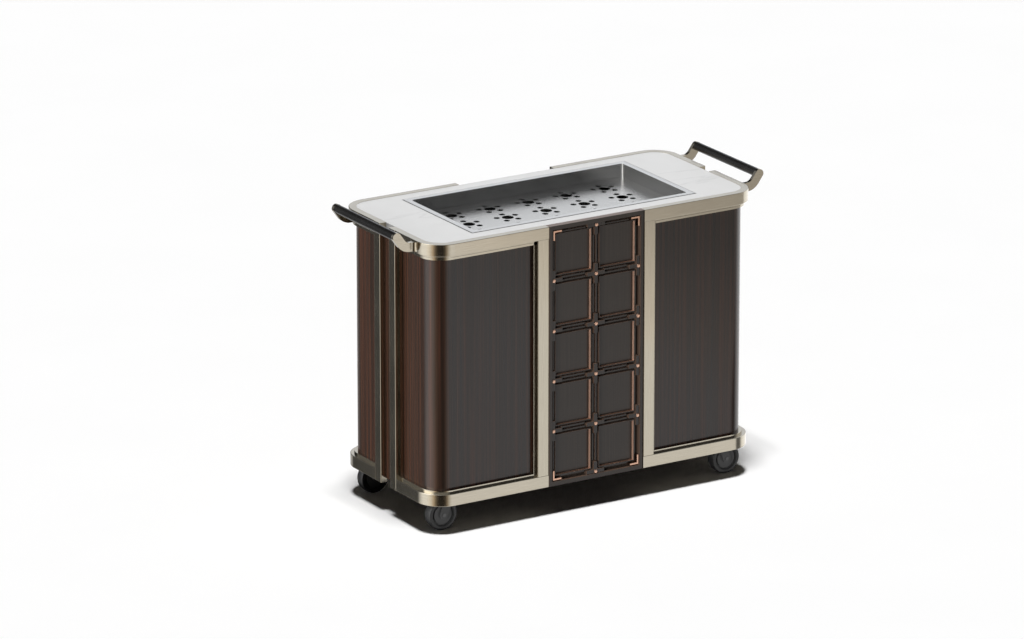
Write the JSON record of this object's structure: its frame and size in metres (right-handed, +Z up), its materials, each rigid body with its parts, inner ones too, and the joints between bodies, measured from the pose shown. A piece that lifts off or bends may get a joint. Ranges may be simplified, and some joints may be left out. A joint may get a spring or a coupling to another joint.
{
  "type": "meal collection cart",
  "caption": "Wheeled cabinet with a stone top, a drained well for used dishes, curved veneer corners, lattice panels, end push handles and swivel casters.",
  "frame": {"origin": "on the floor under the middle of the cart", "axes": "+Z up, -Y towards the front, +X along the length to the right"},
  "size_m": [1.357, 0.566, 0.976],
  "materials": {
    "bronze_metal": "satin, pale bronze anodised",
    "veneer": "dark straight-grained veneer, satin lacquer",
    "plywood": "sealed plywood",
    "stone": "polished white stone with faint grey veins",
    "stainless": "brushed stainless steel",
    "drain_plastic": "pale grey moulded plastic",
    "bin_plastic": "grey moulded plastic",
    "lattice_lacquer": "dark lacquer, satin",
    "copper": "polished copper tone",
    "dark_metal": "dark bronze, glossy",
    "hinge_steel": "dark plated steel",
    "bar_black": "gloss black",
    "caster_steel": "dark plated steel",
    "caster_plastic": "dark grey moulded plastic",
    "tyre": "dark grey rubber"
  },
  "bodies": {
    "cabinet": {"bottom_rail_front_left": "bronze_metal", "bottom_rail_front_right": "bronze_metal", "bottom_rail_rear_left": "bronze_metal", "bottom_rail_rear_right": "bronze_metal", "top_rail_front_left": "bronze_metal", "top_rail_front_right": "bronze_metal", "top_rail_rear_left": "bronze_metal", "top_rail_rear_right": "bronze_metal", "side_posts": "bronze_metal", "end_posts": "bronze_metal", "panel_beads": "bronze_metal", "left_handle_arms": "bronze_metal", "right_handle_arms": "bronze_metal", "corner_panel_front_left": "veneer", "corner_panel_front_right": "veneer", "corner_panel_rear_left": "veneer", "corner_panel_rear_right": "veneer", "slot_walls": "veneer", "base_board": "plywood", "top_frame": "plywood", "stone_top": "stone", "well_pan": "stainless", "plate_ledges": "stainless", "drain_outlet": "drain_plastic", "front_lattice_border": "lattice_lacquer", "front_lattice_board": "lattice_lacquer", "front_lattice_liners": "copper", "front_lattice_fittings": "copper", "front_lattice_rods": "dark_metal", "front_lattice_sleeves": "dark_metal", "hinge_frame_leaves": "hinge_steel", "hinge_pins": "hinge_steel", "left_handle_bar": "bar_black", "right_handle_bar": "bar_black", "caster_plates": "caster_steel"},
    "door": {"door_border": "lattice_lacquer", "door_board": "lattice_lacquer", "door_liners": "copper", "door_fittings": "copper", "door_rods": "dark_metal", "door_sleeves": "dark_metal", "hinge_door_leaves": "hinge_steel"},
    "drain_plate": {"drain_plate": "stainless"},
    "waste_bin": {"waste_bin": "bin_plastic"},
    "swivel_front_left": {"caster_fork_front_left": "caster_plastic", "caster_axle_front_left": "caster_steel"},
    "wheel_front_left": {"caster_wheel_front_left": "caster_plastic", "caster_tyre_front_left": "tyre"},
    "swivel_front_right": {"caster_fork_front_right": "caster_plastic", "caster_axle_front_right": "caster_steel"},
    "wheel_front_right": {"caster_wheel_front_right": "caster_plastic", "caster_tyre_front_right": "tyre"},
    "swivel_rear_left": {"caster_fork_rear_left": "caster_plastic", "caster_axle_rear_left": "caster_steel"},
    "wheel_rear_left": {"caster_wheel_rear_left": "caster_plastic", "caster_tyre_rear_left": "tyre"},
    "swivel_rear_right": {"caster_fork_rear_right": "caster_plastic", "caster_axle_rear_right": "caster_steel"},
    "wheel_rear_right": {"caster_wheel_rear_right": "caster_plastic", "caster_tyre_rear_right": "tyre"}
  },
  "joints": [
    {"name": "door_hinge", "type": "hinge", "parent": "cabinet", "child": "door", "pos_m": [0.17425, 0.281, 0.519], "axis": [0, 0, -1], "range_deg": [0, 110]},
    {"name": "drain_plate_lift", "type": "slide", "parent": "cabinet", "child": "drain_plate", "axis": [0, 0, 1], "range_m": [0, 0.08]},
    {"name": "waste_bin_lift", "type": "slide", "parent": "cabinet", "child": "waste_bin", "axis": [0, 0, 1], "range_m": [0, 0.04]},
    {"name": "swivel_turn_front_left", "type": "hinge", "parent": "cabinet", "child": "swivel_front_left", "pos_m": [-0.5, -0.208, 0.116], "axis": [0, 0, 1], "continuous": true},
    {"name": "wheel_roll_front_left", "type": "hinge", "parent": "swivel_front_left", "child": "wheel_front_left", "pos_m": [-0.524, -0.208, 0.05], "axis": [0, 1, 0], "continuous": true},
    {"name": "swivel_turn_front_right", "type": "hinge", "parent": "cabinet", "child": "swivel_front_right", "pos_m": [0.5, -0.208, 0.116], "axis": [0, 0, 1], "continuous": true},
    {"name": "wheel_roll_front_right", "type": "hinge", "parent": "swivel_front_right", "child": "wheel_front_right", "pos_m": [0.524, -0.208, 0.05], "axis": [0, 1, 0], "continuous": true},
    {"name": "swivel_turn_rear_left", "type": "hinge", "parent": "cabinet", "child": "swivel_rear_left", "pos_m": [-0.5, 0.208, 0.116], "axis": [0, 0, 1], "continuous": true},
    {"name": "wheel_roll_rear_left", "type": "hinge", "parent": "swivel_rear_left", "child": "wheel_rear_left", "pos_m": [-0.524, 0.208, 0.05], "axis": [0, 1, 0], "continuous": true},
    {"name": "swivel_turn_rear_right", "type": "hinge", "parent": "cabinet", "child": "swivel_rear_right", "pos_m": [0.5, 0.208, 0.116], "axis": [0, 0, 1], "continuous": true},
    {"name": "wheel_roll_rear_right", "type": "hinge", "parent": "swivel_rear_right", "child": "wheel_rear_right", "pos_m": [0.524, 0.208, 0.05], "axis": [0, 1, 0], "continuous": true}
  ]
}
